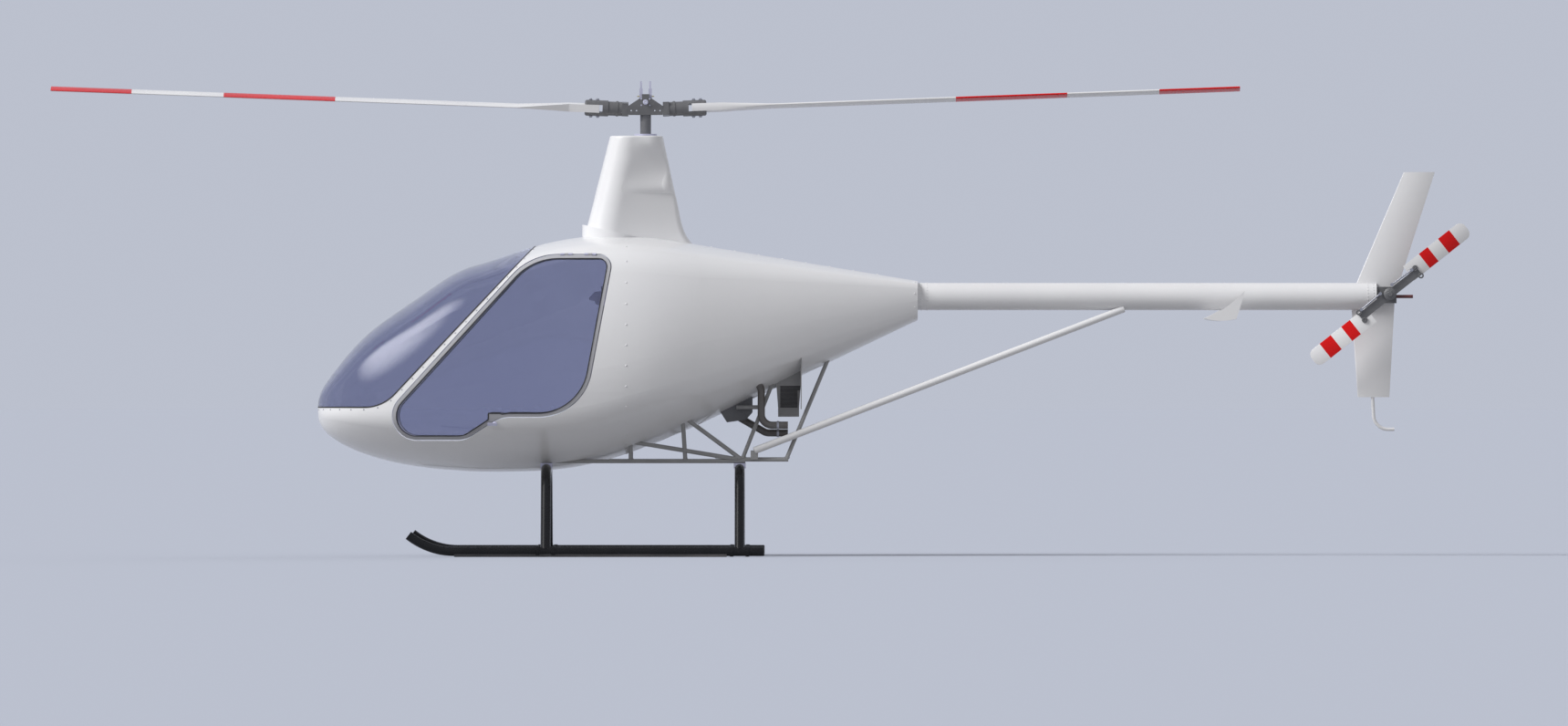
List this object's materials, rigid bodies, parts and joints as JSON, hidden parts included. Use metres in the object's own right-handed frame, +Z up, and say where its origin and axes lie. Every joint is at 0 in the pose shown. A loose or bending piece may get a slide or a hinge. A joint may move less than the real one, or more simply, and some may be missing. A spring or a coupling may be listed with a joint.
{
  "type": "light helicopter",
  "caption": "Light helicopter on skids with a glazed bubble cabin, gull-wing doors, teetering main rotor, mast fairing, braced tube tail boom, swept fin and tail rotor.",
  "frame": {"origin": "on the ground under the middle of the overall length, on the centre plane", "axes": "+X aft from nose to tail, +Y to starboard, +Z up"},
  "size_m": [7.7704, 1.6498, 2.602],
  "materials": {
    "skin_white": "gloss",
    "clear_glass": "gloss",
    "rim_white": "gloss",
    "latch_steel": "satin",
    "cabin_grey": "matte",
    "cabin_dark": "matte",
    "seat_cloth": "matte",
    "head_alloy": "satin",
    "mast_steel": "satin",
    "blade_paint": "gloss",
    "frame_grey": "satin",
    "engine_alloy": "satin",
    "pipe_steel": "satin",
    "gear_black": "gloss",
    "tail_white": "gloss",
    "shaft_red": "satin"
  },
  "bodies": {
    "airframe": {"boom_ring": "tail_white", "boom_strut_left": "tail_white", "boom_strut_right": "tail_white", "bulkhead": "cabin_grey", "cabin_floor": "cabin_grey", "canopy_frame": "skin_white", "control_bellcrank": "head_alloy", "cooler_plate": "frame_grey", "cowl_left": "skin_white", "cowl_right": "skin_white", "cross_tube_front": "gear_black", "cross_tube_rear": "gear_black", "door_hinges": "latch_steel", "drive_shaft_end": "shaft_red", "end_plates": "tail_white", "engine_block": "engine_alloy", "exhaust_pipes": "pipe_steel", "fin_lower": "tail_white", "fin_upper": "tail_white", "frame_truss": "frame_grey", "gear_clamps": "head_alloy", "instrument_pod": "cabin_dark", "main_gearbox": "engine_alloy", "mast_collar": "head_alloy", "mast_fairing": "skin_white", "nose_tub": "skin_white", "oil_cooler": "frame_grey", "pedals": "cabin_dark", "seat_backs": "seat_cloth", "seat_bases": "cabin_grey", "seat_cushions": "seat_cloth", "skid_left": "gear_black", "skid_right": "gear_black", "skid_shoes": "gear_black", "strut_lugs": "frame_grey", "tail_boom": "tail_white", "tail_gearbox": "frame_grey", "tail_skid": "tail_white", "tailplane": "tail_white", "tailplane_saddle": "tail_white", "windshield": "clear_glass"},
    "rotor_mast": {"rotor_mast": "mast_steel"},
    "rotor_head": {"rotor_hub": "head_alloy", "hub_uprights": "head_alloy", "blade_grip_aft": "head_alloy", "blade_grip_fore": "head_alloy", "main_blade_aft": "blade_paint", "main_blade_fore": "blade_paint"},
    "tail_rotor": {"tail_rotor_hub": "frame_grey", "tail_blades": "blade_paint"},
    "door_left": {"door_rim_left": "rim_white", "door_glass_left": "clear_glass"},
    "door_right": {"door_rim_right": "rim_white", "door_glass_right": "clear_glass"}
  },
  "joints": [
    {"name": "main_rotor_spin", "type": "hinge", "parent": "airframe", "child": "rotor_mast", "pos_m": [-0.62578, 0, 2.2], "axis": [0, 0, 1], "continuous": true},
    {"name": "rotor_teeter", "type": "hinge", "parent": "rotor_mast", "child": "rotor_head", "pos_m": [-0.62578, 0, 2.487], "axis": [0, 1, 0], "range_deg": [-6, 6]},
    {"name": "tail_rotor_spin", "type": "hinge", "parent": "airframe", "child": "tail_rotor", "pos_m": [3.45022, -0.15, 1.435], "axis": [0, -1, 0], "continuous": true},
    {"name": "door_left_hinge", "type": "hinge", "parent": "airframe", "child": "door_left", "pos_m": [-1.05577, -0.41545, 1.6515], "axis": [-0.9902, 0.1399, 0], "range_deg": [0, 75]},
    {"name": "door_right_hinge", "type": "hinge", "parent": "airframe", "child": "door_right", "pos_m": [-1.05577, 0.41545, 1.6515], "axis": [0.9902, 0.1399, 0], "range_deg": [0, 75]}
  ]
}
